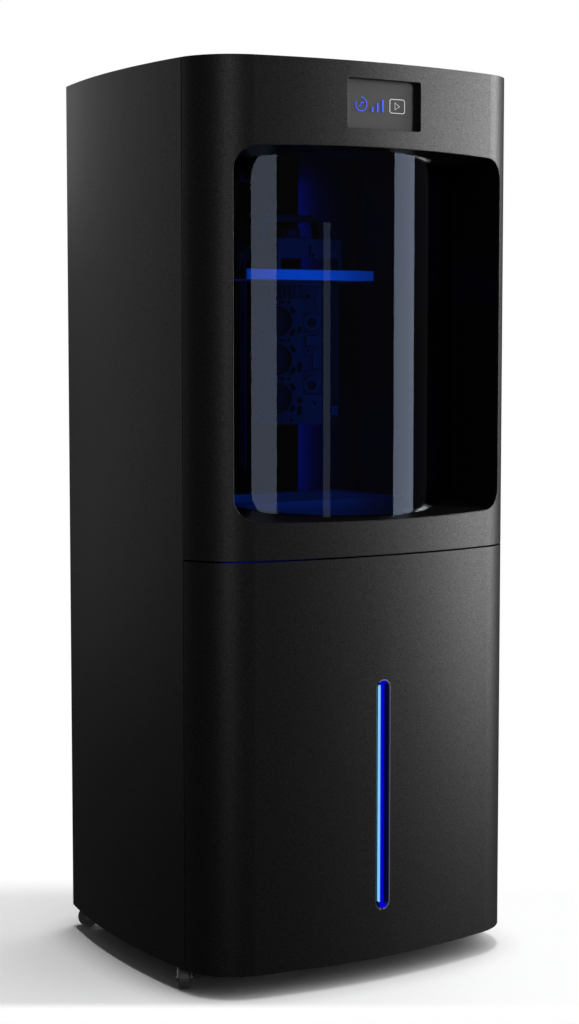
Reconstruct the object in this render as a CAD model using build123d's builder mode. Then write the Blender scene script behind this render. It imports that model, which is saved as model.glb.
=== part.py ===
"""Floor-standing resin printer: a tall cabinet with two wrap-around front doors, on four casters.

Frame: millimetres, +X to the right seen from the front, +Y to the back, +Z up. The origin is on the
floor, under the centre of the cabinet. Depths are counted from FRONT, the front-most line of the
body, and heights from BASE, the underside of the body.
"""
import os
from math import acos, cos, degrees, radians, sin, tan

from build123d import *

# ---- driving dimensions ----------------------------------------------------------------------
BODY_HEIGHT = 1600.0
BODY_DEPTH = 624.0
BASE = 42.0                     # ground clearance: the height of the casters
FRONT = -BODY_DEPTH / 2
BACK = BODY_DEPTH / 2

# plan of the body: three tangent arcs a side, given by radius and by the turn where each one ends
FRONT_RADIUS = 1198.0
CORNER_RADIUS = 112.0
SIDE_RADIUS = 1561.0
FRONT_TURN = 12.3
CORNER_TURN = 84.85

SKIN = 2.0                      # sheet steel of doors and panels
SEAM_DEPTH = 124.0              # upright seam between doors and side panels
SEAM_GAP = 2.5
DOOR_SPLIT = 732.5              # level seam between the two doors
DOOR_GAP = 3.0

# window of the upper door: a recess that narrows inwards, closed by a bowed pane
WINDOW_BOTTOM = 795.4
WINDOW_TOP = 1453.6
WINDOW_HALF = 297.5
WINDOW_CORNER = 48.0
WINDOW_TAPER = 10.3
GLASS_RADIUS = 325.6
GLASS_CENTRE_DEPTH = 350.6
GLASS_THICKNESS = 6.0

SCREEN_WIDTH = 157.0
SCREEN_HEIGHT = 86.5
SCREEN_HEIGHT_POS = 1527.7
SCREEN_RECESS = 13.0

LIGHT_BOTTOM = 90.0
LIGHT_TOP = 506.0
LIGHT_WIDTH = 25.0
LIGHT_BEVEL = 3.0
LIGHT_DEPTH = 12.0
LENS_WIDTH = 7.5
LENS_SHORT = 9.0                # the lens stops this far short of both ends of the groove

# door hinges: gooseneck arms that carry an upright pin just inside the corner of the doors
HINGE_X = -323.4
HINGE_DEPTH = 102.6
HINGE_PIN_RADIUS = 4.0
HINGE_ARM_THICKNESS = 8.0
HINGE_LUG_THICKNESS = 5.0
HINGE_LUG_RADIUS = 8.0
HINGE_RUN = 0.05                # radial clearance of a lug on its pin
DOOR_SWEEP = 27.9               # reach of a door's rear corner round its hinge pin
UPPER_HINGES = (762.0, 1562.0)
LOWER_HINGES = (70.0, 690.0)

# print chamber
DECK_TOP = 780.0
DECK_THICKNESS = 8.0
CEILING = 1480.0
CHAMBER_HALF = 285.0
CHAMBER_BACK = 480.0
COLUMN_HALF = 125.0
COLUMN_DEPTH = 468.0
SLOT_WIDTH = 26.5
SLOT_BOTTOM = 863.0
SLOT_TOP = 1460.0

# build platform group, all centred on this depth
PLATFORM_DEPTH = 313.0
PLATFORM_BOTTOM = 1227.0
PLATFORM_THICKNESS = 19.0
PLATFORM_WIDTH = 286.0
PLATFORM_LENGTH = 156.0
BRACKET_HALF = 71.5
BRACKET_LENGTH = 144.0
BRACKET_TOP = 1303.0
BRACKET_PLATE = 11.0
BRACKET_WALL = 5.0
HANDLE_TOP = 1350.0
HANDLE_BAR = 11.0
HANDLE_STRAP = 25.0
ARM_HALF = 10.0
KNOB_RADIUS = 21.5
WORKPIECE_HEIGHT = 270.0
WORKPIECE_TURN = -31.0

# vat and light engine
VAT_HALF = 195.0
VAT_LENGTH = 220.0
VAT_TOP = 818.0
VAT_INNER_HALF = 170.0
VAT_INNER_LENGTH = 184.0
FILM_BOTTOM = 786.2
FILM_TOP = 787.0

# Z axis behind the column cover
SCREW_DEPTH = 545.0
SCREW_RADIUS = 8.0
JOURNAL_RADIUS = 5.0
RUN_FIT = 0.05                  # radial clearance of every shaft in its bearing
TOWER_DEPTH = 562.0
RAIL_X = 40.0
RAIL_WIDTH = 15.0
CARRIAGE_BOTTOM = 1330.0
CARRIAGE_TOP = 1430.0

# frame
TUBE = 30.0
TUBE_WALL = 2.0
POST_X = 303.0                  # inner face of the front posts
REAR_POST_X = 268.0
POST_DEPTH = 138.0
REAR_POST_DEPTH = 582.0

# rear services
REAR_PANEL_DEPTH = 614.0
REAR_PANEL_THICKNESS = 2.5
REAR_PANEL_HALF = 304.0
PANEL_FACE = REAR_PANEL_DEPTH + REAR_PANEL_THICKNESS
FAN_X = 185.0
FAN_HEIGHT = 1330.0
FAN_SIZE = 120.0
FAN_THICKNESS = 25.0
INLET_X = -200.0
INLET_HEIGHT = 95.0

# casters
WHEEL_RADIUS = 20.0
WHEEL_WIDTH = 20.0
AXLE_RADIUS = 3.0
CASTER_TRAIL = 14.0
CASTERS = {
    # name: swivel x, swivel depth, heading of the wheel from the swivel (degrees, 0 = +X)
    "front_left": (-320.0, 163.0, -123.0),
    "front_right": (320.0, 163.0, -60.0),
    "rear_left": (-272.0, 597.0, 147.0),
    "rear_right": (272.0, 597.0, 35.0),
}
BRAKED = ("front_left", "front_right")

os.makedirs("parts", exist_ok=True)


def at(x, depth, height):
    """A point from its offset, its depth behind the front line and its height over the underside."""
    return (x, FRONT + depth, BASE + height)


def block(x, depth, height, mode=Mode.ADD):
    """A box between pairs of limits, added to the part that is being built."""
    centre = at((x[0] + x[1]) / 2, (depth[0] + depth[1]) / 2, (height[0] + height[1]) / 2)
    with Locations(centre):
        Box(x[1] - x[0], depth[1] - depth[0], height[1] - height[0], mode=mode)


def rod(x, depth, radius, height, mode=Mode.ADD):
    """An upright cylinder between two heights."""
    with Locations(at(x, depth, (height[0] + height[1]) / 2)):
        Cylinder(radius, height[1] - height[0], mode=mode)


def tube(x, depth, height, along):
    """A square steel tube: a box with its inside taken out along one axis."""
    block(x, depth, height)
    limits = {"x": x, "depth": depth, "height": height}
    for name, (low, high) in limits.items():
        if name != along:
            limits[name] = (low + TUBE_WALL, high - TUBE_WALL)
    block(limits["x"], limits["depth"], limits["height"], mode=Mode.SUBTRACT)


def body_plan(inset=0.0, back=BODY_DEPTH, mode=Mode.ADD):
    """The rounded plan of the body, offset inwards, closed by a straight back."""
    corner = Vector(
        (FRONT_RADIUS - CORNER_RADIUS) * sin(radians(FRONT_TURN)),
        FRONT + FRONT_RADIUS - (FRONT_RADIUS - CORNER_RADIUS) * cos(radians(FRONT_TURN)),
    )
    reach = SIDE_RADIUS - CORNER_RADIUS
    side = Vector(
        corner.X - reach * sin(radians(CORNER_TURN)),
        corner.Y + reach * cos(radians(CORNER_TURN)),
    )
    side_radius = SIDE_RADIUS - inset
    end = degrees(acos((side.Y - FRONT - back) / side_radius))
    with BuildLine() as outline:
        CenterArc((0, FRONT + FRONT_RADIUS), FRONT_RADIUS - inset, 270 - FRONT_TURN, 2 * FRONT_TURN)
        CenterArc(corner, CORNER_RADIUS - inset, 270 + FRONT_TURN, CORNER_TURN - FRONT_TURN)
        CenterArc((-corner.X, corner.Y), CORNER_RADIUS - inset, 270 - CORNER_TURN, CORNER_TURN - FRONT_TURN)
        right = CenterArc(side, side_radius, 270 + CORNER_TURN, end - CORNER_TURN)
        left = CenterArc((-side.X, side.Y), side_radius, 270 - end, end - CORNER_TURN)
        Line(right @ 1, left @ 0)
    make_face(outline.edges(), mode=mode)


def strip(depth_from, depth_to, x_from=-500.0, x_to=500.0):
    """Keep only what lies between two depths of the plan that is being drawn."""
    with Locations(((x_from + x_to) / 2, FRONT + (depth_from + depth_to) / 2)):
        Rectangle(x_to - x_from, depth_to - depth_from, mode=Mode.INTERSECT)


def skin_wall(thickness, height, depth, x_from=-500.0, x_to=500.0):
    """A stretch of the body's skin, standing between two heights."""
    with BuildSketch(Plane.XY.offset(BASE + height[0])) as wall:
        body_plan()
        body_plan(thickness, back=BODY_DEPTH + 20, mode=Mode.SUBTRACT)
        strip(*depth, x_from, x_to)
    extrude(wall.sketch, amount=height[1] - height[0])


def plan_plate(inset, height, depth, mode=Mode.ADD):
    """A level plate that fills the plan of the body between two depths."""
    with BuildSketch(Plane.XY.offset(BASE + height[0])) as plate:
        body_plan(inset)
        strip(*depth)
    extrude(plate.sketch, amount=height[1] - height[0], mode=mode)


def window_prism(grow, depth_from, depth_to, mode):
    """The tapering space of the window recess, widened all round by `grow`."""
    shrink = depth_from * tan(radians(WINDOW_TAPER))
    width = 2 * (WINDOW_HALF + grow - shrink)
    height = WINDOW_TOP - WINDOW_BOTTOM + 2 * (grow - shrink)
    middle = (WINDOW_TOP + WINDOW_BOTTOM) / 2
    face = Plane(origin=at(0, depth_from, middle), x_dir=(1, 0, 0), z_dir=(0, -1, 0))
    with BuildSketch(face) as opening:
        RectangleRounded(width, height, WINDOW_CORNER + grow)
    extrude(opening.sketch, amount=depth_from - depth_to, taper=WINDOW_TAPER, mode=mode)


def hinge_lugs(heights):
    """Pairs of lugs inside the corner of a door, one above and one below each hinge arm."""
    for height in heights:
        for side in (-1, 1):
            near = side * (HINGE_ARM_THICKNESS / 2 + 0.5)
            far = near + side * HINGE_LUG_THICKNESS
            low, high = sorted((height + near, height + far))
            with BuildSketch(Plane.XY.offset(BASE + low)) as lug:
                with Locations((HINGE_X, FRONT + HINGE_DEPTH)):
                    Circle(HINGE_LUG_RADIUS)
                with Locations((HINGE_X - 14, FRONT + HINGE_DEPTH)):
                    Rectangle(28, 2 * HINGE_LUG_RADIUS)
                body_plan(SKIN / 2, mode=Mode.INTERSECT)
                with Locations((HINGE_X, FRONT + HINGE_DEPTH)):
                    Circle(HINGE_PIN_RADIUS + HINGE_RUN, mode=Mode.SUBTRACT)
            extrude(lug.sketch, amount=high - low)


def door_box(height):
    """A wrap-around door: skin, level end plates and narrow hems along the upright seams."""
    edge = SEAM_DEPTH - SEAM_GAP / 2
    skin_wall(SKIN, height, (-5, edge))
    for level in (height[0], height[1] - SKIN):
        plan_plate(SKIN / 2, (level, level + SKIN), (-5, edge))
    for side in (-1, 1):
        hem = sorted((side * 338.0, side * 342.6))
        block(hem, (edge - SKIN, edge), height)


# ---- cabinet: base, frame and panels ----------------------------------------------------------
with BuildPart() as base_pan:
    # its front edge keeps clear of the sweep of the lower door's rear corner
    plan_plate(SKIN + 0.5, (2, 16), (SEAM_DEPTH + 8, BODY_DEPTH - 12))
    plan_plate(SKIN + 3.5, (2, 12), (SEAM_DEPTH + 11, BODY_DEPTH), mode=Mode.SUBTRACT)
base_pan.part.label = "base_pan"
export_step(base_pan.part, "parts/base_pan.step")

with BuildPart() as cabinet_frame:
    for side in (-1, 1):
        front_x = sorted((side * POST_X, side * (POST_X + TUBE)))
        rear_x = sorted((side * REAR_POST_X, side * (REAR_POST_X + TUBE)))
        tube(front_x, (POST_DEPTH, POST_DEPTH + TUBE), (16, 1590), "height")
        tube(rear_x, (REAR_POST_DEPTH, REAR_POST_DEPTH + TUBE), (16, 1590), "height")
        for low in (16.0, 735.0, 1560.0):
            with BuildSketch(Plane.XY.offset(BASE + low)):
                with BuildLine():
                    Polyline(
                        (side * (POST_X + 2), FRONT + POST_DEPTH + TUBE),
                        (side * (POST_X + TUBE - 4), FRONT + POST_DEPTH + TUBE),
                        (side * (REAR_POST_X + TUBE - 4), FRONT + REAR_POST_DEPTH),
                        (side * (REAR_POST_X + 2), FRONT + REAR_POST_DEPTH),
                        close=True,
                    )
                make_face()
            extrude(amount=TUBE)
    for low in (16.0, 717.5, 1560.0):
        tube((-POST_X, POST_X), (POST_DEPTH, POST_DEPTH + TUBE), (low, low + TUBE), "x")
    for low in (16.0, 735.0, 1560.0):
        tube((-REAR_POST_X, REAR_POST_X), (REAR_POST_DEPTH, REAR_POST_DEPTH + TUBE), (low, low + TUBE), "x")
cabinet_frame.part.label = "cabinet_frame"
export_step(cabinet_frame.part, "parts/cabinet_frame.step")

for name, side in (("side_panel_left", -1), ("side_panel_right", 1)):
    with BuildPart() as side_panel:
        span = sorted((side * 200.0, side * 500.0))
        skin_wall(SKIN, (0, BODY_HEIGHT), (SEAM_DEPTH + SEAM_GAP / 2, BODY_DEPTH), *span)
        lip = sorted((side * 292.0, side * 307.0))
        block(lip, (BODY_DEPTH - SKIN, BODY_DEPTH), (0, BODY_HEIGHT))
    side_panel.part.label = name
    export_step(side_panel.part, f"parts/{name}.step")

with BuildPart() as top_cover:
    plan_plate(SKIN + 0.3, (BODY_HEIGHT - 10, BODY_HEIGHT - 1), (SEAM_DEPTH + 12, BODY_DEPTH - 3))
    under = (BODY_HEIGHT - 10, BODY_HEIGHT - 4)
    plan_plate(SKIN + 4.0, under, (SEAM_DEPTH + 15, BODY_DEPTH - 12), mode=Mode.SUBTRACT)
    plan_plate(SKIN + 0.3, (BODY_HEIGHT - 4, BODY_HEIGHT - 1), (SEAM_DEPTH + SEAM_GAP / 2, SEAM_DEPTH + 14))
    # round notch that the upper door's corner turns in
    rod(HINGE_X, HINGE_DEPTH, DOOR_SWEEP + 0.4, (BODY_HEIGHT - 5, BODY_HEIGHT), mode=Mode.SUBTRACT)
top_cover.part.label = "top_cover"
export_step(top_cover.part, "parts/top_cover.step")

with BuildPart() as rear_panel:
    block((-REAR_PANEL_HALF, REAR_PANEL_HALF), (REAR_PANEL_DEPTH, PANEL_FACE), (13, BODY_HEIGHT - 12))
    rear_face = Plane(origin=at(0, REAR_PANEL_DEPTH, 0), x_dir=(1, 0, 0), z_dir=(0, -1, 0))
    # fan grille: rings of a round guard, held by four spokes
    with BuildSketch(rear_face):
        with Locations((FAN_X, FAN_HEIGHT)):
            for outer in (54.0, 42.0, 30.0, 18.0):
                Circle(outer)
                Circle(outer - 7.5, mode=Mode.SUBTRACT)
            Rectangle(6, 130, mode=Mode.SUBTRACT)
            Rectangle(130, 6, mode=Mode.SUBTRACT)
    extrude(amount=-REAR_PANEL_THICKNESS, mode=Mode.SUBTRACT)
    # louvre slots for the electronics and for the light engine
    with BuildSketch(rear_face):
        with Locations((-140, 330), (140, 330), (-140, 600), (140, 600)):
            with GridLocations(0, 14, 1, 9):
                SlotOverall(150, 6)
    extrude(amount=-REAR_PANEL_THICKNESS, mode=Mode.SUBTRACT)
    with BuildSketch(rear_face):
        with Locations((INLET_X, INLET_HEIGHT)):
            Rectangle(48, 30)
    extrude(amount=-REAR_PANEL_THICKNESS, mode=Mode.SUBTRACT)
    # screw holes round the edge
    with BuildSketch(rear_face):
        for x in (-280.0, 280.0):
            with Locations(*[(x, height) for height in range(60, 1560, 245)]):
                Circle(2.5)
    extrude(amount=-REAR_PANEL_THICKNESS, mode=Mode.SUBTRACT)
rear_panel.part.label = "rear_panel"
export_step(rear_panel.part, "parts/rear_panel.step")

with BuildPart() as panel_screws:
    for x in (-280.0, 280.0):
        for height in range(60, 1560, 245):
            head = Plane(origin=at(x, PANEL_FACE, height), z_dir=(0, 1, 0))
            with BuildSketch(head):
                Circle(5)
            extrude(amount=3)
            with BuildSketch(head):
                Circle(2.5)
            extrude(amount=-REAR_PANEL_THICKNESS - 2)
            with BuildSketch(head.offset(3)):
                RegularPolygon(2.5, 6)
            extrude(amount=-1.8, mode=Mode.SUBTRACT)
panel_screws.part.label = "panel_screws"
export_step(panel_screws.part, "parts/panel_screws.step")

# ---- print chamber ----------------------------------------------------------------------------
with BuildPart() as deck_plate:
    cut = (DECK_TOP - DECK_THICKNESS - 1, DECK_TOP + 1)
    block((-300, 300), (140, 605), (DECK_TOP - DECK_THICKNESS, DECK_TOP))
    for side in (-1, 1):
        block(sorted((side * 262.0, side * 301.0)), (578, 606), cut, mode=Mode.SUBTRACT)
    block((-146, 146), (240, 386), cut, mode=Mode.SUBTRACT)
    rod(0, SCREW_DEPTH, 12, cut, mode=Mode.SUBTRACT)
deck_plate.part.label = "deck_plate"
export_step(deck_plate.part, "parts/deck_plate.step")

with BuildPart() as chamber_rear_liner:
    back_sheet = (CHAMBER_BACK, CHAMBER_BACK + SKIN)
    block((-CHAMBER_HALF - SKIN, CHAMBER_HALF + SKIN), back_sheet, (DECK_TOP, CEILING + SKIN))
    block((-300, 300), (170, CHAMBER_BACK + SKIN), (CEILING, CEILING + SKIN))
    cut = (CHAMBER_BACK - 1, CHAMBER_BACK + SKIN + 1)
    block((-60, 60), cut, (DECK_TOP + 12, CEILING - 6), mode=Mode.SUBTRACT)
    # extraction holes in the ceiling
    with BuildSketch(Plane.XY.offset(BASE + CEILING)):
        with Locations((FAN_X, FRONT + 226)):
            with GridLocations(12, 12, 8, 6):
                Circle(4)
    extrude(amount=SKIN, mode=Mode.SUBTRACT)
chamber_rear_liner.part.label = "chamber_rear_liner"
export_step(chamber_rear_liner.part, "parts/chamber_rear_liner.step")

for name, side in (("chamber_liner_left", -1), ("chamber_liner_right", 1)):
    with BuildPart() as chamber_liner:
        with BuildSketch(Plane.XY.offset(BASE + DECK_TOP)):
            with BuildLine():
                Polyline(
                    (side * CHAMBER_HALF, FRONT + CHAMBER_BACK),
                    (side * CHAMBER_HALF, FRONT + 215),
                    (side * 299, FRONT + 215),
                    (side * 299, FRONT + 170),
                    (side * 301, FRONT + 170),
                    (side * 301, FRONT + 217),
                    (side * (CHAMBER_HALF + SKIN), FRONT + 217),
                    (side * (CHAMBER_HALF + SKIN), FRONT + CHAMBER_BACK),
                    close=True,
                )
            make_face()
        extrude(amount=CEILING - DECK_TOP)
    chamber_liner.part.label = name
    export_step(chamber_liner.part, f"parts/{name}.step")

with BuildPart() as column_cover:
    block((-COLUMN_HALF, COLUMN_HALF), (COLUMN_DEPTH, COLUMN_DEPTH + SKIN), (DECK_TOP, CEILING))
    for side in (-1, 1):
        block(sorted((side * 104.0, side * 106.0)), (COLUMN_DEPTH, CHAMBER_BACK), (DECK_TOP, CEILING))
    cover_face = Plane(origin=at(0, COLUMN_DEPTH, 0), x_dir=(1, 0, 0), z_dir=(0, -1, 0))
    with BuildSketch(cover_face):
        with Locations((0, (SLOT_BOTTOM + SLOT_TOP) / 2)):
            SlotOverall(SLOT_TOP - SLOT_BOTTOM, SLOT_WIDTH, rotation=90)
        with Locations((64, 850), (64, 1440), (-64, 850), (-64, 1440)):
            Circle(3)
    extrude(amount=-SKIN, mode=Mode.SUBTRACT)
column_cover.part.label = "column_cover"
export_step(column_cover.part, "parts/column_cover.step")

with BuildPart() as chamber_light_strips:
    for side in (-1, 1):
        span = sorted((side * 106.0, side * 109.0))
        block(span, (COLUMN_DEPTH + SKIN, CHAMBER_BACK), (DECK_TOP + 5, CEILING - 5))
chamber_light_strips.part.label = "chamber_light_strips"
export_step(chamber_light_strips.part, "parts/chamber_light_strips.step")

# ---- vat, mask and light engine ---------------------------------------------------------------
vat_depth = (PLATFORM_DEPTH - VAT_LENGTH / 2, PLATFORM_DEPTH + VAT_LENGTH / 2)
vat_inner = (PLATFORM_DEPTH - VAT_INNER_LENGTH / 2, PLATFORM_DEPTH + VAT_INNER_LENGTH / 2)

with BuildPart() as vat_frame:
    block((-VAT_HALF, VAT_HALF), vat_depth, (DECK_TOP, VAT_TOP))
    fillet(vat_frame.edges().filter_by(Axis.Z), 12)
    block((-VAT_INNER_HALF, VAT_INNER_HALF), vat_inner, (DECK_TOP - 1, VAT_TOP + 1), mode=Mode.SUBTRACT)
    block(
        (-VAT_INNER_HALF - 5, VAT_INNER_HALF + 5),
        (vat_inner[0] - 5, vat_inner[1] + 5),
        (FILM_BOTTOM, FILM_TOP),
        mode=Mode.SUBTRACT,
    )
vat_frame.part.label = "vat_frame"
export_step(vat_frame.part, "parts/vat_frame.step")

with BuildPart() as release_film:
    block(
        (-VAT_INNER_HALF - 5, VAT_INNER_HALF + 5),
        (vat_inner[0] - 5, vat_inner[1] + 5),
        (FILM_BOTTOM, FILM_TOP),
    )
release_film.part.label = "release_film"
export_step(release_film.part, "parts/release_film.step")

with BuildPart() as lcd_mask:
    block((-160, 160), (vat_inner[0] + 5, vat_inner[1] - 5), (DECK_TOP, FILM_BOTTOM))
lcd_mask.part.label = "lcd_mask"
export_step(lcd_mask.part, "parts/lcd_mask.step")

with BuildPart() as light_engine:
    engine_top = DECK_TOP - DECK_THICKNESS
    block((-165, 165), (222, 404), (590, engine_top))
    block((-146, 146), (240, 386), (606, engine_top + 1), mode=Mode.SUBTRACT)
light_engine.part.label = "light_engine"
export_step(light_engine.part, "parts/light_engine.step")

with BuildPart() as led_array:
    block((-140, 140), (246, 380), (606, 610))
    with BuildSketch(Plane.XY.offset(BASE + 610)):
        with Locations((0, FRONT + PLATFORM_DEPTH)):
            with GridLocations(36, 32, 7, 4):
                Circle(9)
    extrude(amount=7, taper=12)
led_array.part.label = "led_array"
export_step(led_array.part, "parts/led_array.step")

with BuildPart() as heat_sink:
    block((-150, 150), (235, 391), (582, 590))
    with BuildSketch(Plane.XY.offset(BASE + 530)):
        with Locations((0, FRONT + PLATFORM_DEPTH)):
            with GridLocations(16, 0, 18, 1):
                Rectangle(3, 150)
    extrude(amount=53)
heat_sink.part.label = "heat_sink"
export_step(heat_sink.part, "parts/heat_sink.step")

# ---- Z axis -----------------------------------------------------------------------------------
with BuildPart() as z_tower:
    block((-60, 60), (TOWER_DEPTH, 600), (DECK_TOP, 1475))
    block((-52, 52), (TOWER_DEPTH + 8, 601), (DECK_TOP + 8, 1467), mode=Mode.SUBTRACT)
z_tower.part.label = "z_tower"
export_step(z_tower.part, "parts/z_tower.step")

with BuildPart() as linear_rails:
    for side in (-1, 1):
        span = sorted((side * RAIL_X - RAIL_WIDTH / 2, side * RAIL_X + RAIL_WIDTH / 2))
        block(span, (TOWER_DEPTH - 13, TOWER_DEPTH), (DECK_TOP + 5, 1470))
linear_rails.part.label = "linear_rails"
export_step(linear_rails.part, "parts/linear_rails.step")

bearing_heights = ((DECK_TOP, DECK_TOP + 16), (1462, 1475))
with BuildPart() as screw_bearings:
    for span in bearing_heights:
        block((-20, 20), (SCREW_DEPTH - 15, TOWER_DEPTH), span)
        rod(0, SCREW_DEPTH, JOURNAL_RADIUS + RUN_FIT, (span[0] - 1, span[1] + 1), mode=Mode.SUBTRACT)
screw_bearings.part.label = "screw_bearings"
export_step(screw_bearings.part, "parts/screw_bearings.step")

MOTOR_TOP = DECK_TOP - DECK_THICKNESS
MOTOR_BOTTOM = MOTOR_TOP - 80
with BuildPart() as z_motor:
    with Locations(at(0, SCREW_DEPTH, (MOTOR_TOP + MOTOR_BOTTOM) / 2)):
        Box(57, 57, MOTOR_TOP - MOTOR_BOTTOM)
    chamfer(z_motor.edges().filter_by(Axis.Z), 5)
    rod(0, SCREW_DEPTH, JOURNAL_RADIUS + RUN_FIT, (MOTOR_BOTTOM + 8, MOTOR_TOP + 1), mode=Mode.SUBTRACT)
z_motor.part.label = "z_motor"
export_step(z_motor.part, "parts/z_motor.step")

with BuildPart() as ball_screw:
    rod(0, SCREW_DEPTH, SCREW_RADIUS, (DECK_TOP + 17, 1461))
    rod(0, SCREW_DEPTH, JOURNAL_RADIUS, (MOTOR_BOTTOM + 10, 1474))
ball_screw.part.label = "ball_screw"
export_step(ball_screw.part, "parts/ball_screw.step")

nut_height = (CARRIAGE_BOTTOM + 20, CARRIAGE_BOTTOM + 64)
with BuildPart() as ball_nut:
    rod(0, SCREW_DEPTH, 14, nut_height)
    block((-20, 20), (526, SCREW_DEPTH), nut_height)
    rod(0, SCREW_DEPTH, SCREW_RADIUS + RUN_FIT, (nut_height[0] - 1, nut_height[1] + 1), mode=Mode.SUBTRACT)
ball_nut.part.label = "ball_nut"
export_step(ball_nut.part, "parts/ball_nut.step")

with BuildPart() as rail_blocks:
    for side in (-1, 1):
        span = sorted((side * RAIL_X - 17, side * RAIL_X + 17))
        groove = sorted((side * RAIL_X - RAIL_WIDTH / 2 - 0.1, side * RAIL_X + RAIL_WIDTH / 2 + 0.1))
        for low in (CARRIAGE_BOTTOM, CARRIAGE_TOP - 38):
            block(span, (526, TOWER_DEPTH - 3), (low, low + 38))
            block(groove, (TOWER_DEPTH - 13.1, TOWER_DEPTH), (low - 1, low + 39), mode=Mode.SUBTRACT)
rail_blocks.part.label = "rail_blocks"
export_step(rail_blocks.part, "parts/rail_blocks.step")

with BuildPart() as carriage_plate:
    block((-58, 58), (516, 526), (CARRIAGE_BOTTOM, CARRIAGE_TOP))
carriage_plate.part.label = "carriage_plate"
export_step(carriage_plate.part, "parts/carriage_plate.step")

# the arm: a gusset that tapers from the carriage through the slot to a pad over the platform
ARM_ROOT = 516.0
ARM_TIP = 288.0
ARM_PAD = 6.0
with BuildPart() as platform_arm:
    with BuildSketch(Plane.YZ.offset(-ARM_HALF)):
        with BuildLine():
            Polyline(
                (FRONT + ARM_ROOT, BASE + BRACKET_TOP),
                (FRONT + ARM_TIP, BASE + BRACKET_TOP),
                (FRONT + ARM_TIP, BASE + BRACKET_TOP + ARM_PAD),
                (FRONT + 337, BASE + BRACKET_TOP + ARM_PAD),
                (FRONT + 446, BASE + CARRIAGE_TOP - 10),
                (FRONT + ARM_ROOT, BASE + CARRIAGE_TOP - 6),
                close=True,
            )
        make_face()
    extrude(amount=2 * ARM_HALF)
    block((-22, 22), (ARM_TIP, 337), (BRACKET_TOP, BRACKET_TOP + ARM_PAD))
    block((-34, 34), (ARM_ROOT - 8, ARM_ROOT), (CARRIAGE_BOTTOM + 2, CARRIAGE_TOP - 6))
    rod(0, PLATFORM_DEPTH, 5 + RUN_FIT, (BRACKET_TOP - 1, BRACKET_TOP + ARM_PAD + 1), mode=Mode.SUBTRACT)
    with BuildSketch(Plane.YZ.offset(-ARM_HALF)):
        with Locations((FRONT + 440, BASE + 1345), (FRONT + 395, BASE + 1334)):
            Circle(14)
    extrude(amount=2 * ARM_HALF, mode=Mode.SUBTRACT)
platform_arm.part.label = "platform_arm"
export_step(platform_arm.part, "parts/platform_arm.step")

# ---- build platform ---------------------------------------------------------------------------
platform_span = (PLATFORM_DEPTH - PLATFORM_LENGTH / 2, PLATFORM_DEPTH + PLATFORM_LENGTH / 2)
bracket_span = (PLATFORM_DEPTH - BRACKET_LENGTH / 2, PLATFORM_DEPTH + BRACKET_LENGTH / 2)
platform_top = PLATFORM_BOTTOM + PLATFORM_THICKNESS
bracket_plate = (BRACKET_TOP - BRACKET_PLATE, BRACKET_TOP)

with BuildPart() as build_platform:
    block((-PLATFORM_WIDTH / 2, PLATFORM_WIDTH / 2), platform_span, (PLATFORM_BOTTOM, platform_top))
    fillet(build_platform.edges().filter_by(Axis.Z), 3)
    chamfer(build_platform.faces().sort_by(Axis.Z)[-1].edges(), 1)
build_platform.part.label = "build_platform"
export_step(build_platform.part, "parts/build_platform.step")

with BuildPart() as platform_bracket:
    block((-BRACKET_HALF, BRACKET_HALF), bracket_span, bracket_plate)
    front_wall = (bracket_span[0], bracket_span[0] + BRACKET_WALL)
    rear_wall = (bracket_span[1] - BRACKET_WALL, bracket_span[1])
    for wall in (front_wall, rear_wall):
        block((-BRACKET_HALF, BRACKET_HALF), wall, (platform_top, bracket_plate[0]))
    with BuildSketch(Plane(origin=at(0, bracket_span[0] - 1, 0), x_dir=(1, 0, 0), z_dir=(0, -1, 0))):
        with Locations((0, platform_top + 2)):
            RectangleRounded(128, 37, 4)
        with Locations((0, platform_top + 25)):
            Rectangle(18, 10)
        with Locations((0, platform_top + 34)):
            Rectangle(6, 22)
        for x in (-BRACKET_HALF + 8, BRACKET_HALF - 8):
            with Locations((x, platform_top + 39)):
                Circle(1.8)
    extrude(amount=-BRACKET_LENGTH - 2, mode=Mode.SUBTRACT)
    rod(0, PLATFORM_DEPTH, 5 + RUN_FIT, (bracket_plate[0] - 1, BRACKET_TOP + 1), mode=Mode.SUBTRACT)
platform_bracket.part.label = "platform_bracket"
export_step(platform_bracket.part, "parts/platform_bracket.step")

handle_face = Plane(origin=at(0, PLATFORM_DEPTH - HANDLE_STRAP / 2, 0), x_dir=(1, 0, 0), z_dir=(0, -1, 0))
with BuildPart() as platform_handle:
    with BuildSketch(handle_face):
        arch_middle = (HANDLE_TOP + BRACKET_TOP) / 2
        rise = HANDLE_TOP - BRACKET_TOP
        with Locations((0, arch_middle - rise / 2)):
            RectangleRounded(2 * BRACKET_HALF, 2 * rise, 24)
        with Locations((0, arch_middle - rise / 2)):
            RectangleRounded(2 * (BRACKET_HALF - HANDLE_BAR), 2 * (rise - HANDLE_BAR), 13, mode=Mode.SUBTRACT)
        with Locations((0, BRACKET_TOP - 100)):
            Rectangle(400, 200, mode=Mode.SUBTRACT)
        # finger scallops under the grip
        with Locations((0, HANDLE_TOP - HANDLE_BAR)):
            with GridLocations(15, 0, 5, 1):
                SlotOverall(11, 3)
    extrude(amount=-HANDLE_STRAP)
platform_handle.part.label = "platform_handle"
export_step(platform_handle.part, "parts/platform_handle.step")

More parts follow.
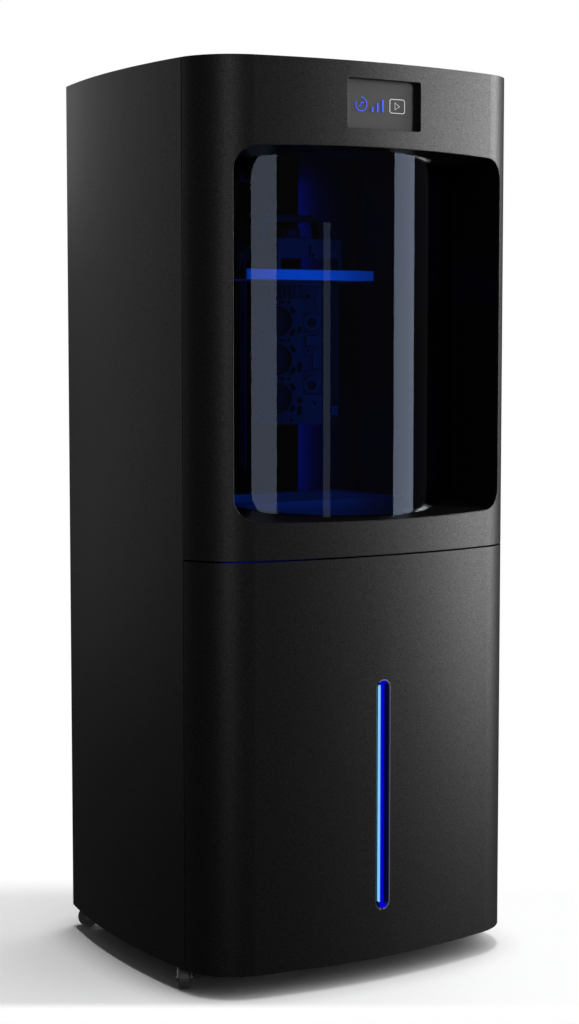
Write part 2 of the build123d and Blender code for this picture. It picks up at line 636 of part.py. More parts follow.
with BuildPart() as clamp_knob:
    rod(0, PLATFORM_DEPTH, KNOB_RADIUS, (BRACKET_TOP + ARM_PAD, BRACKET_TOP + ARM_PAD + 14))
    with BuildSketch(Plane.XY.offset(BASE + BRACKET_TOP + ARM_PAD)):
        with Locations((0, FRONT + PLATFORM_DEPTH)):
            with PolarLocations(KNOB_RADIUS + 1.5, 8):
                Circle(4)
    extrude(amount=14, mode=Mode.SUBTRACT)
    rod(0, PLATFORM_DEPTH, 5, (BRACKET_TOP - 22, BRACKET_TOP + ARM_PAD))
    rod(0, PLATFORM_DEPTH, 8, (BRACKET_TOP - 22, bracket_plate[0] - 0.2))
clamp_knob.part.label = "clamp_knob"
export_step(clamp_knob.part, "parts/clamp_knob.step")

# the cured workpiece that hangs under the platform: a generic block with three bores
WORK_FRONT = 32.0               # its front face, before the middle of the platform
BORE_RADIUS = 29.0
BORE_PITCH = 71.7
BORE_X = -24.0
POCKET_DEPTH = 16.0
work_foot = at(0, PLATFORM_DEPTH, PLATFORM_BOTTOM - WORKPIECE_HEIGHT)
work_plane = Plane(origin=work_foot, x_dir=(1, 0, 0), z_dir=(0, 0, 1)).rotated((0, 0, WORKPIECE_TURN))
work_face = Plane(
    origin=work_plane.from_local_coords((0, -WORK_FRONT, 0)),
    x_dir=work_plane.x_dir,
    z_dir=-work_plane.y_dir,
)
BORES = [(BORE_X, 50.0 + BORE_PITCH * level) for level in range(3)]
# bosses in the side pocket: offset, height, outer and inner radius
BOSSES = ((42, 191, 15, 9), (42, 74, 15, 9), (35, 240, 8, 5.5), (35, 139, 7, 3))
# plates and ribs in the side pocket: offset, height, width, height, turn and rise
PLATES = (
    (45, 157, 26, 18, 0, 12),
    (50, 122, 11, 34, 0, 14),
    (55, 236, 8, 38, 0, 10),
    (44, 171, 33, 3, 10, 15),
    (44, 99, 33, 3, 10, 15),
    (44, 214, 33, 3, 0, 15),
)
with BuildPart() as printed_part:
    with BuildSketch(work_plane):
        with BuildLine():
            Polyline(
                (-66, -WORK_FRONT),
                (61, -WORK_FRONT),
                (61, -14),
                (96, 12),
                (96, 32),
                (-66, 32),
                close=True,
            )
        make_face()
    extrude(amount=WORKPIECE_HEIGHT)
    with BuildSketch(work_face):
        with Locations(*BORES):
            Circle(BORE_RADIUS)
        # coolant holes round the bores
        for x, height in BORES:
            for side in (-1, 1):
                for turn in (34, -34):
                    with Locations((x + side * 30, height + turn * 0.6)):
                        SlotOverall(14, 8, rotation=90 + side * turn)
                with Locations((x + side * 10.5, height + BORE_PITCH / 2)):
                    SlotOverall(11, 5)
                with Locations((x + side * 22.5, height + BORE_PITCH / 2)):
                    Circle(3)
        with Locations((19, 178), (19, 45)):
            RectangleRounded(8, 12, 2)
        with Locations((19, 108), (19, 27)):
            RectangleRounded(8, 18, 2)
        with Locations((48, 40), (4, 8), (-50, 8)):
            Circle(3)
    extrude(amount=-50, mode=Mode.SUBTRACT)
    # recess over the bores with a row of studs, and the side pocket
    with BuildSketch(work_face):
        with Locations((-19, 249)):
            Rectangle(86, 26)
            with GridLocations(9, 0, 8, 1):
                Rectangle(3, 20, mode=Mode.SUBTRACT)
    extrude(amount=-12, mode=Mode.SUBTRACT)
    with BuildSketch(work_face):
        with Locations((44, 158)):
            Rectangle(36, 204)
    extrude(amount=-POCKET_DEPTH, mode=Mode.SUBTRACT)
    for x, height, width, tall, turn, rise in PLATES:
        with BuildSketch(work_face.offset(-POCKET_DEPTH - 1)):
            with Locations((x, height)):
                Rectangle(width, tall, rotation=turn)
        extrude(amount=rise + 1)
    with BuildSketch(work_face.offset(-POCKET_DEPTH - 1)):
        for x, height, outer, inner in BOSSES:
            with Locations((x, height)):
                Circle(outer)
    extrude(amount=POCKET_DEPTH + 3)
    with BuildSketch(work_face.offset(3)):
        for x, height, outer, inner in BOSSES:
            with Locations((x, height)):
                Circle(inner)
    extrude(amount=-POCKET_DEPTH - 30, mode=Mode.SUBTRACT)
    # foot on the rear flank
    with BuildSketch(work_plane.offset(16)):
        with Locations((86, 4)):
            Rectangle(14, 26)
    extrude(amount=18)
printed_part.part.label = "printed_part"
export_step(printed_part.part, "parts/printed_part.step")

# ---- electronics and rear services -----------------------------------------------------------
BASE_FLOOR = 16.0
with BuildPart() as power_supply:
    block((-250, -30), (330, 560), (BASE_FLOOR, BASE_FLOOR + 110))
    fillet(power_supply.edges().filter_by(Axis.Y).group_by(Axis.Z)[-1], 3)
    block((-248, -32), (332, 558), (BASE_FLOOR, BASE_FLOOR + 108), mode=Mode.SUBTRACT)
    # vent slots in the front wall
    with BuildSketch(Plane(origin=at(-140, 330, BASE_FLOOR + 60), x_dir=(1, 0, 0), z_dir=(0, -1, 0))):
        with GridLocations(12, 0, 14, 1):
            SlotOverall(60, 6, rotation=90)
    extrude(amount=-SKIN, mode=Mode.SUBTRACT)
power_supply.part.label = "power_supply"
export_step(power_supply.part, "parts/power_supply.step")

with BuildPart() as control_box:
    block((20, 250), (300, 560), (BASE_FLOOR, BASE_FLOOR + 160))
    fillet(control_box.edges().filter_by(Axis.Y).group_by(Axis.Z)[-1], 3)
    block((22, 248), (302, 558), (BASE_FLOOR, BASE_FLOOR + 158), mode=Mode.SUBTRACT)
    # row of connector cut-outs in the front wall
    with BuildSketch(Plane(origin=at(135, 300, BASE_FLOOR + 40), x_dir=(1, 0, 0), z_dir=(0, -1, 0))):
        with GridLocations(42, 0, 5, 1):
            Rectangle(28, 14)
    extrude(amount=-SKIN, mode=Mode.SUBTRACT)
control_box.part.label = "control_box"
export_step(control_box.part, "parts/control_box.step")

fan_depth = (REAR_PANEL_DEPTH - FAN_THICKNESS, REAR_PANEL_DEPTH)
fan_face = Plane(origin=at(FAN_X, fan_depth[0], FAN_HEIGHT), x_dir=(1, 0, 0), z_dir=(0, -1, 0))
with BuildPart() as fan_frame:
    with BuildSketch(fan_face):
        RectangleRounded(FAN_SIZE, FAN_SIZE, 6)
        Circle(57, mode=Mode.SUBTRACT)
        Circle(19)
        for turn in (45, 135):
            with Locations(Location((0, 0), turn)):
                Rectangle(150, 5)
        RectangleRounded(FAN_SIZE, FAN_SIZE, 6, mode=Mode.INTERSECT)
    extrude(amount=-4)
    with BuildSketch(fan_face):
        RectangleRounded(FAN_SIZE, FAN_SIZE, 6)
        Circle(57, mode=Mode.SUBTRACT)
    extrude(amount=-FAN_THICKNESS)
    with BuildSketch(fan_face):
        Circle(4)
    extrude(amount=-FAN_THICKNESS + 4)
fan_frame.part.label = "fan_frame"
export_step(fan_frame.part, "parts/fan_frame.step")

with BuildPart() as fan_rotor:
    with BuildSketch(fan_face.offset(-5)):
        Circle(19)
        for blade in range(7):
            with Locations(Location((0, 0), blade * 360 / 7)):
                with Locations((36, 0)):
                    Rectangle(36, 6, rotation=18)
        Circle(54, mode=Mode.INTERSECT)
        Circle(4 + RUN_FIT, mode=Mode.SUBTRACT)
    extrude(amount=-FAN_THICKNESS + 9)
fan_rotor.part.label = "fan_rotor"
export_step(fan_rotor.part, "parts/fan_rotor.step")

ROCKER_X = INLET_X + 13
ROCKER_AXIS = PANEL_FACE - 4.0
ROCKER_TILT = 8.0               # the switch rests in its on position
ROCKER_PIN_RADIUS = 1.2
rocker_plane = Plane(
    origin=at(ROCKER_X - 6, ROCKER_AXIS, INLET_HEIGHT),
    x_dir=(0, cos(radians(ROCKER_TILT)), sin(radians(ROCKER_TILT))),
    z_dir=(1, 0, 0),
)
inlet_face = Plane(origin=at(INLET_X, PANEL_FACE, INLET_HEIGHT), x_dir=(-1, 0, 0), z_dir=(0, 1, 0))
with BuildPart() as power_inlet:
    with BuildSketch(inlet_face.offset(3)):
        RectangleRounded(58, 40, 4)
    extrude(amount=-3)
    with BuildSketch(inlet_face):
        Rectangle(47, 29)
    extrude(amount=-30)
    # cavity of the appliance inlet, with its three blades left standing
    with BuildSketch(inlet_face.offset(4)):
        with Locations((9, 0)):
            Rectangle(24, 16)
    extrude(amount=-24, mode=Mode.SUBTRACT)
    with BuildSketch(inlet_face.offset(-21)):
        with Locations((16, -3), (9, 3), (2, -3)):
            Rectangle(2, 4)
    extrude(amount=17)
    # well of the rocker, and the holes for its pivot
    with BuildSketch(inlet_face.offset(4)):
        with Locations((INLET_X - ROCKER_X, 0)):
            Rectangle(13, 22)
    extrude(amount=-14, mode=Mode.SUBTRACT)
    with BuildSketch(rocker_plane.offset(-2.1)):
        Circle(ROCKER_PIN_RADIUS + RUN_FIT)
    extrude(amount=16.2, mode=Mode.SUBTRACT)
power_inlet.part.label = "power_inlet"
export_step(power_inlet.part, "parts/power_inlet.step")

with BuildPart() as rocker_switch:
    with BuildSketch(rocker_plane):
        with BuildLine():
            Polyline((-3, -7), (6.5, -9), (4.5, 0), (6.5, 9), (-3, 7), close=True)
        make_face()
    extrude(amount=12)
    with BuildSketch(rocker_plane.offset(-2)):
        Circle(ROCKER_PIN_RADIUS)
    extrude(amount=16)
rocker_switch.part.label = "rocker_switch"
export_step(rocker_switch.part, "parts/rocker_switch.step")

# ---- door hinges and catches ------------------------------------------------------------------
with BuildPart() as hinge_arms:
    for height in UPPER_HINGES + LOWER_HINGES:
        with BuildSketch(Plane.XY.offset(BASE + height - HINGE_ARM_THICKNESS / 2)):
            with BuildLine():
                Polyline(
                    (HINGE_X, FRONT + HINGE_DEPTH - 8),
                    (-274, FRONT + HINGE_DEPTH - 8),
                    (-274, FRONT + POST_DEPTH),
                    (-330, FRONT + POST_DEPTH),
                    (-330, FRONT + POST_DEPTH - 5),
                    (-290, FRONT + POST_DEPTH - 5),
                    (-290, FRONT + HINGE_DEPTH + 8),
                    (HINGE_X, FRONT + HINGE_DEPTH + 8),
                    close=True,
                )
            make_face()
            with Locations((HINGE_X, FRONT + HINGE_DEPTH)):
                Circle(8)
                Circle(HINGE_PIN_RADIUS, mode=Mode.SUBTRACT)
        extrude(amount=HINGE_ARM_THICKNESS)
hinge_arms.part.label = "hinge_arms"
export_step(hinge_arms.part, "parts/hinge_arms.step")

PIN_REACH = HINGE_ARM_THICKNESS / 2 + HINGE_LUG_THICKNESS + 2
with BuildPart() as hinge_pins:
    for height in UPPER_HINGES + LOWER_HINGES:
        rod(HINGE_X, HINGE_DEPTH, HINGE_PIN_RADIUS, (height - PIN_REACH, height + PIN_REACH))
hinge_pins.part.label = "hinge_pins"
export_step(hinge_pins.part, "parts/hinge_pins.step")

CATCH_HEIGHTS = (1120.0, 380.0)
with BuildPart() as door_catches:
    for height in CATCH_HEIGHTS:
        block((306, 330), (126.2, POST_DEPTH), (height - 30, height + 30))
door_catches.part.label = "door_catches"
export_step(door_catches.part, "parts/door_catches.step")

# ---- upper door -------------------------------------------------------------------------------
UPPER_DOOR = (DOOR_SPLIT + DOOR_GAP / 2, BODY_HEIGHT)
LOWER_DOOR = (0.0, DOOR_SPLIT - DOOR_GAP / 2)

with BuildPart() as upper_door_shell:
    door_box(UPPER_DOOR)
    # stiffening flange round the window
    with BuildSketch(Plane.XY.offset(BASE + WINDOW_BOTTOM - 12)):
        body_plan(SKIN)
        body_plan(SKIN + 3, back=BODY_DEPTH + 20, mode=Mode.SUBTRACT)
        strip(-5, 100, -315, 315)
    extrude(amount=WINDOW_TOP - WINDOW_BOTTOM + 24)
    window_prism(0, -2, 140, Mode.SUBTRACT)
    # walls of the display recess
    screen_face = Plane(origin=at(0, 1, SCREEN_HEIGHT_POS), x_dir=(1, 0, 0), z_dir=(0, -1, 0))
    with BuildSketch(screen_face):
        RectangleRounded(SCREEN_WIDTH + 6, SCREEN_HEIGHT + 6, 7)
    extrude(amount=-SCREEN_RECESS - 11.5)
    with BuildSketch(screen_face.offset(5)):
        RectangleRounded(SCREEN_WIDTH, SCREEN_HEIGHT, 4)
    extrude(amount=-60, mode=Mode.SUBTRACT)
    with BuildSketch(Plane.XY.offset(BASE + 1400)):
        Rectangle(800, 800)
        body_plan(0, mode=Mode.SUBTRACT)
    extrude(amount=300, mode=Mode.SUBTRACT)
    # round ear of the top sheet that fills the notch in the top cover
    with BuildSketch(Plane.XY.offset(BASE + BODY_HEIGHT - SKIN)):
        with Locations((HINGE_X, FRONT + HINGE_DEPTH)):
            Circle(DOOR_SWEEP)
        body_plan(SKIN + 0.3, mode=Mode.INTERSECT)
    extrude(amount=SKIN)
    hinge_lugs(UPPER_HINGES)
upper_door_shell.part.label = "upper_door_shell"
export_step(upper_door_shell.part, "parts/upper_door_shell.step")

GLASS_MIDDLE = (0, FRONT + GLASS_CENTRE_DEPTH)
with BuildPart() as window_surround:
    window_prism(4, 0, 230, Mode.ADD)
    window_prism(0, -2, 232, Mode.SUBTRACT)
    # it starts behind the skin and stops just behind the bowed pane
    with BuildSketch(Plane.XY.offset(BASE + 700)):
        body_plan(SKIN + 3)
        with Locations(GLASS_MIDDLE):
            Circle(GLASS_RADIUS - GLASS_THICKNESS - 8, mode=Mode.SUBTRACT)
    extrude(amount=850, mode=Mode.INTERSECT)
    with BuildSketch(Plane.XY.offset(BASE + 700)):
        with Locations((0, FRONT + 300)):
            Rectangle(800, 208)
    extrude(amount=850, mode=Mode.SUBTRACT)
window_surround.part.label = "window_surround"
export_step(window_surround.part, "parts/window_surround.step")

with BuildPart() as window_glass:
    window_prism(0, 0, 230, Mode.ADD)
    with BuildSketch(Plane.XY.offset(BASE + 700)):
        with Locations(GLASS_MIDDLE):
            Circle(GLASS_RADIUS)
            Circle(GLASS_RADIUS - GLASS_THICKNESS, mode=Mode.SUBTRACT)
        strip(0, 210)
    extrude(amount=850, mode=Mode.INTERSECT)
window_glass.part.label = "window_glass"
export_step(window_glass.part, "parts/window_glass.step")

with BuildPart() as touchscreen:
    screen_plane = Plane(origin=at(0, SCREEN_RECESS, SCREEN_HEIGHT_POS), x_dir=(1, 0, 0), z_dir=(0, -1, 0))
    with BuildSketch(screen_plane):
        RectangleRounded(SCREEN_WIDTH - 0.4, SCREEN_HEIGHT - 0.4, 3.8)
    extrude(amount=-12.5)
    with BuildSketch(screen_plane.offset(-12.5)):
        RectangleRounded(SCREEN_WIDTH + 6, SCREEN_HEIGHT + 6, 4)
    extrude(amount=-14)
touchscreen.part.label = "touchscreen"
export_step(touchscreen.part, "parts/touchscreen.step")

# ---- lower door -------------------------------------------------------------------------------
LIGHT_LENGTH = LIGHT_TOP - LIGHT_BOTTOM
light_middle = (LIGHT_TOP + LIGHT_BOTTOM) / 2
light_face = Plane(origin=at(0, 0.12, light_middle), x_dir=(1, 0, 0), z_dir=(0, -1, 0))
with BuildPart() as lower_door_shell:
    door_box(LOWER_DOOR)
    with BuildSketch(light_face.offset(5)):
        SlotOverall(LIGHT_LENGTH + 2 * LIGHT_BEVEL, LIGHT_WIDTH + 2 * LIGHT_BEVEL, rotation=90)
    extrude(amount=-30, mode=Mode.SUBTRACT)
    hinge_lugs(LOWER_HINGES)
lower_door_shell.part.label = "lower_door_shell"
export_step(lower_door_shell.part, "parts/lower_door_shell.step")

with BuildPart() as light_bar_channel:
    with BuildSketch(light_face):
        SlotOverall(LIGHT_LENGTH + 2 * LIGHT_BEVEL, LIGHT_WIDTH + 2 * LIGHT_BEVEL, rotation=90)
    extrude(amount=-LIGHT_DEPTH - 6)
    with BuildSketch(light_face):
        SlotOverall(LIGHT_LENGTH + 2 * LIGHT_BEVEL - 0.6, LIGHT_WIDTH + 2 * LIGHT_BEVEL - 0.6, rotation=90)
    with BuildSketch(light_face.offset(-LIGHT_BEVEL)):
        SlotOverall(LIGHT_LENGTH, LIGHT_WIDTH, rotation=90)
    loft(mode=Mode.SUBTRACT)
    with BuildSketch(light_face.offset(-LIGHT_BEVEL)):
        SlotOverall(LIGHT_LENGTH, LIGHT_WIDTH, rotation=90)
    extrude(amount=-LIGHT_DEPTH + LIGHT_BEVEL, mode=Mode.SUBTRACT)
    with BuildSketch(light_face.offset(-LIGHT_DEPTH)):
        SlotOverall(LIGHT_LENGTH - 2 * LENS_SHORT, LENS_WIDTH, rotation=90)
    extrude(amount=-3, mode=Mode.SUBTRACT)
light_bar_channel.part.label = "light_bar_channel"
export_step(light_bar_channel.part, "parts/light_bar_channel.step")

with BuildPart() as light_bar_lens:
    with BuildSketch(light_face.offset(-LIGHT_DEPTH + 3)):
        SlotOverall(LIGHT_LENGTH - 2 * LENS_SHORT, LENS_WIDTH, rotation=90)
    extrude(amount=-6)
    fillet(light_bar_lens.faces().sort_by(Axis.Y)[0].edges(), 1.5)
light_bar_lens.part.label = "light_bar_lens"
export_step(light_bar_lens.part, "parts/light_bar_lens.step")

# ---- casters ----------------------------------------------------------------------------------
PLATE_TOP = 12.0
PLATE_BOTTOM = 9.0
CROWN_BOTTOM = 1.5
CROWN_TOP = 4.5
SWIVEL_GAP = 0.3
AXLE_HEIGHT = -BASE + WHEEL_RADIUS
FORK_LEG = 2.5
FORK_INNER = WHEEL_WIDTH / 2 + 1.2
BRAKE_HALF = 7.0
BRAKE_INNER = FORK_INNER + FORK_LEG + 0.8
BRAKE_PIVOT = (BRAKE_INNER + 2.6, -7.0)     # across the fork and in height
BRAKE_PIN_RADIUS = 1.5
BRAKE_OUTLINE = ((0, -4), (0, -27), (8, -27), (23, -21.5), (25, -17), (24, -9), (14, -4))
BRAKE_LUG = ((-1, -3), (-1, -13), (5, -11), (6, -5), (4, -3))

with BuildPart() as caster_plates:
    for x, depth, heading in CASTERS.values():
        block((x - 18, x + 18), (depth - 18, depth + 18), (PLATE_BOTTOM, PLATE_TOP))
        rod(x, depth, 14, (CROWN_TOP + SWIVEL_GAP, PLATE_BOTTOM))
        rod(x, depth, 5, (CROWN_BOTTOM - 1.0, CROWN_TOP + SWIVEL_GAP))
caster_plates.part.label = "caster_plates"
export_step(caster_plates.part, "parts/caster_plates.step")

for name, (x, depth, heading) in CASTERS.items():
    swivel = Plane(origin=at(x, depth, 0), x_dir=(1, 0, 0), z_dir=(0, 0, 1)).rotated((0, 0, heading))
    side_plane = Plane(origin=swivel.origin, x_dir=swivel.x_dir, z_dir=-swivel.y_dir)
    with BuildPart() as caster_fork:
        with BuildSketch(swivel.offset(CROWN_BOTTOM)):
            Circle(16)
            Circle(5 + RUN_FIT, mode=Mode.SUBTRACT)
        extrude(amount=CROWN_TOP - CROWN_BOTTOM)
        for side in (-1, 1):
            inner = side * FORK_INNER
            leg = side_plane.offset(inner if side > 0 else inner - FORK_LEG)
            with BuildSketch(leg):
                with BuildLine():
                    Polyline(
                        (-9, CROWN_TOP),
                        (9, CROWN_TOP),
                        (9, -1),
                        (CASTER_TRAIL + 5, AXLE_HEIGHT),
                        (CASTER_TRAIL + 4, AXLE_HEIGHT - 5),
                        (CASTER_TRAIL - 5, AXLE_HEIGHT - 5),
                        (-9, 0),
                        close=True,
                    )
                make_face()
            extrude(amount=FORK_LEG)
        # the riveted axle with its two heads
        with BuildSketch(side_plane.offset(-FORK_INNER - FORK_LEG)):
            with Locations((CASTER_TRAIL, AXLE_HEIGHT)):
                Circle(AXLE_RADIUS)
        extrude(amount=2 * (FORK_INNER + FORK_LEG))
        for low in (-FORK_INNER - FORK_LEG - 2, FORK_INNER + FORK_LEG):
            with BuildSketch(side_plane.offset(low)):
                with Locations((CASTER_TRAIL, AXLE_HEIGHT)):
                    Circle(4.5)
            extrude(amount=2)
    caster_fork.part.label = f"caster_fork_{name}"
    export_step(caster_fork.part, f"parts/caster_fork_{name}.step")

    with BuildPart() as caster_wheel:
        with BuildSketch(side_plane.offset(-WHEEL_WIDTH / 2)):
            with Locations((CASTER_TRAIL, AXLE_HEIGHT)):
                Circle(WHEEL_RADIUS)
                Circle(AXLE_RADIUS + RUN_FIT, mode=Mode.SUBTRACT)
        extrude(amount=WHEEL_WIDTH)
        circles = caster_wheel.edges().filter_by(GeomType.CIRCLE)
        fillet(circles.filter_by(lambda edge: edge.radius > WHEEL_RADIUS - 1), 2.5)
        for low, direction in ((-WHEEL_WIDTH / 2, 1), (WHEEL_WIDTH / 2, -1)):
            with BuildSketch(side_plane.offset(low)):
                with Locations((CASTER_TRAIL, AXLE_HEIGHT)):
                    Circle(13.5)
                    Circle(6.5, mode=Mode.SUBTRACT)
            extrude(amount=direction * 3, mode=Mode.SUBTRACT)
    caster_wheel.part.label = f"caster_wheel_{name}"
    export_step(caster_wheel.part, f"parts/caster_wheel_{name}.step")

    if name in BRAKED:
        # a wedge-shaped lever on pins beside the fork, here pressed down: it lifts to free the wheel
        outwards = 1 if name == "front_left" else -1
        across = Plane(
            origin=swivel.from_local_coords((-BRAKE_HALF, 0, 0)),
            x_dir=swivel.y_dir * outwards,
            z_dir=swivel.x_dir * outwards,
        )
        if outwards < 0:
            across = across.offset(-2 * BRAKE_HALF)
        with BuildPart() as brake_pedal:
            with BuildSketch(across):
                with BuildLine():
                    Polyline(*[(BRAKE_INNER + x, z) for x, z in BRAKE_OUTLINE], close=True)
                make_face()
                with Locations(BRAKE_PIVOT):
                    Circle(BRAKE_PIN_RADIUS + RUN_FIT, mode=Mode.SUBTRACT)
            extrude(amount=2 * BRAKE_HALF)
            with BuildSketch(across.offset(2.5)):
                with Locations((BRAKE_INNER + 15, -12)):
                    Rectangle(12, 10, rotation=-12)
            extrude(amount=2 * BRAKE_HALF - 5, mode=Mode.SUBTRACT)
        brake_pedal.part.label = f"brake_pedal_{name}"
        export_step(brake_pedal.part, f"parts/brake_pedal_{name}.step")

        with BuildPart() as braked_fork:
            add(caster_fork.part)
            for low in (-1.8, 2 * BRAKE_HALF + 0.3):
                with BuildSketch(across.offset(low)):
                    with BuildLine():
                        Polyline(*[(BRAKE_INNER + x, z) for x, z in BRAKE_LUG], close=True)
                    make_face()
                extrude(amount=1.5)
            with BuildSketch(across.offset(-1.8)):
                with Locations(BRAKE_PIVOT):
                    Circle(BRAKE_PIN_RADIUS)
            extrude(amount=2 * BRAKE_HALF + 3.6)
        braked_fork.part.label = f"caster_fork_{name}"
        export_step(braked_fork.part, f"parts/caster_fork_{name}.step")
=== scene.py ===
"""Looks of the resin printer: materials, detail pieces, light and camera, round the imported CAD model."""
import math

import bpy
import bmesh
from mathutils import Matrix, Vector


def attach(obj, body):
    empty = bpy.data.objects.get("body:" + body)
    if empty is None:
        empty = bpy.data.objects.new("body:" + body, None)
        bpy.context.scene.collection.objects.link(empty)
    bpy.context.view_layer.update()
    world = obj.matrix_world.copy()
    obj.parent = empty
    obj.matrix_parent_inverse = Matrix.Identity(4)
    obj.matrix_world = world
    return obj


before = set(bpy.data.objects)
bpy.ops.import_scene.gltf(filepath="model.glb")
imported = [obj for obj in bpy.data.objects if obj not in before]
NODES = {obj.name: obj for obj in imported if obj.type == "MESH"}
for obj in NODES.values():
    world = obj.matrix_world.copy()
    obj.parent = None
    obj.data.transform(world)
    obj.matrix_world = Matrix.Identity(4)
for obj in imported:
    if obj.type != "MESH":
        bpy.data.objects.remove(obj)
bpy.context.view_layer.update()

# ---- the CAD model's own measures, in millimetres ----------------------------------------------
FRONT = -312.0
BASE = 42.0
FRONT_RADIUS = 1198.0
FRONT_ANGLE = math.radians(12.3)
CORNER_RADIUS = 112.0
CORNER_X = (FRONT_RADIUS - CORNER_RADIUS) * math.sin(FRONT_ANGLE)
CORNER_DEPTH = FRONT_RADIUS - (FRONT_RADIUS - CORNER_RADIUS) * math.cos(FRONT_ANGLE)
FRONT_HALF = FRONT_RADIUS * math.sin(FRONT_ANGLE)
WINDOW_BOTTOM, WINDOW_TOP, WINDOW_HALF, WINDOW_RADIUS = 795.4, 1453.6, 297.5, 48.0
WINDOW_TAPER = math.tan(math.radians(10.3))
GROOVE_MIDDLE, GROOVE_HALF, GROOVE_LENGTH_HALF = 298.0, 14.2, 209.7
SCREEN_MIDDLE, SCREEN_DEPTH, SYMBOL_RISE = 1527.7, 13.0, 0.2


def at(x, depth, height):
    """A point in metres, from its offset, depth behind the front line and height over the underside."""
    return Vector((x / 1000, (FRONT + depth) / 1000, (BASE + height) / 1000))


def skin_depth(x):
    """Depth of the doors' outer face at an offset from the middle."""
    x = abs(x)
    if x <= FRONT_HALF:
        return FRONT_RADIUS - math.sqrt(FRONT_RADIUS**2 - x * x)
    return CORNER_DEPTH - math.sqrt(max(CORNER_RADIUS**2 - (x - CORNER_X) ** 2, 0.0))


# ---- materials ---------------------------------------------------------------------------------
def new_material(name):
    material = bpy.data.materials.new(name)
    material.use_nodes = True
    tree = material.node_tree
    shader = tree.nodes["Principled BSDF"]
    return material, tree, shader


def finish(
    name, color, rough, metal=0.0, specular=0.5, grain=None, relief=0.0, mottle=0.0, rough_spread=0.0,
    stretch=(1, 1, 1), sparkle=0.0, edge=0.0,
):
    """A solid finish: base colour with mottling, roughness that wanders, and a bump from a fine grain.

    grain is the size of the grain in millimetres, and relief is its height in millimetres. sparkle is
    how much the gloss varies from grain to grain, and edge is the radius in millimetres that edges are
    shaded with."""
    material, tree, shader = new_material(name)
    links = tree.links
    shader.inputs["Metallic"].default_value = metal
    shader.inputs["Specular IOR Level"].default_value = specular
    place = tree.nodes.new("ShaderNodeTexCoord")
    mapping = tree.nodes.new("ShaderNodeMapping")
    mapping.inputs["Scale"].default_value = stretch
    links.new(place.outputs["Object"], mapping.inputs["Vector"])
    broad = tree.nodes.new("ShaderNodeTexNoise")
    broad.inputs["Scale"].default_value = 9.0
    broad.inputs["Detail"].default_value = 4.0
    links.new(mapping.outputs["Vector"], broad.inputs["Vector"])
    tint = tree.nodes.new("ShaderNodeMix")
    tint.data_type = "RGBA"
    low = [c * (1 - mottle) for c in color]
    high = [min(c * (1 + mottle), 1.0) for c in color]
    tint.inputs[6].default_value = (*low, 1)
    tint.inputs[7].default_value = (*high, 1)
    links.new(broad.outputs["Fac"], tint.inputs["Factor"])
    links.new(tint.outputs[2], shader.inputs["Base Color"])
    spread = tree.nodes.new("ShaderNodeMapRange")
    spread.inputs["To Min"].default_value = rough - rough_spread
    spread.inputs["To Max"].default_value = rough + rough_spread
    links.new(broad.outputs["Fac"], spread.inputs["Value"])
    links.new(spread.outputs["Result"], shader.inputs["Roughness"])
    if grain:
        fine = tree.nodes.new("ShaderNodeTexNoise")
        fine.inputs["Scale"].default_value = 1000.0 / grain
        fine.inputs["Detail"].default_value = 2.0
        links.new(mapping.outputs["Vector"], fine.inputs["Vector"])
        bump = tree.nodes.new("ShaderNodeBump")
        bump.inputs["Strength"].default_value = 1.0
        bump.inputs["Distance"].default_value = relief / 1000
        links.new(fine.outputs["Fac"], bump.inputs["Height"])
        links.new(bump.outputs["Normal"], shader.inputs["Normal"])
        if sparkle:
            gloss = tree.nodes.new("ShaderNodeMapRange")
            gloss.inputs["From Min"].default_value = 0.25
            gloss.inputs["From Max"].default_value = 0.75
            gloss.inputs["To Min"].default_value = specular * (1 - sparkle)
            gloss.inputs["To Max"].default_value = specular * (1 + sparkle)
            links.new(fine.outputs["Fac"], gloss.inputs["Value"])
            links.new(gloss.outputs["Result"], shader.inputs["Specular IOR Level"])
        if edge:
            soft = tree.nodes.new("ShaderNodeBevel")
            soft.samples = 4
            soft.inputs["Radius"].default_value = edge / 1000
            links.new(soft.outputs["Normal"], bump.inputs["Normal"])
    return material


def glow(name, color, strength, base, rough=0.4):
    """A lit plastic: an emission whose strength wanders a little along it."""
    material, tree, shader = new_material(name)
    shader.inputs["Base Color"].default_value = (*base, 1)
    shader.inputs["Roughness"].default_value = rough
    shader.inputs["Emission Color"].default_value = (*color, 1)
    place = tree.nodes.new("ShaderNodeTexCoord")
    cells = tree.nodes.new("ShaderNodeTexNoise")
    cells.inputs["Scale"].default_value = 30.0
    spread = tree.nodes.new("ShaderNodeMapRange")
    spread.inputs["To Min"].default_value = strength * 0.93
    spread.inputs["To Max"].default_value = strength * 1.07
    tree.links.new(place.outputs["Object"], cells.inputs["Vector"])
    tree.links.new(cells.outputs["Fac"], spread.inputs["Value"])
    tree.links.new(spread.outputs["Result"], shader.inputs["Emission Strength"])
    return material


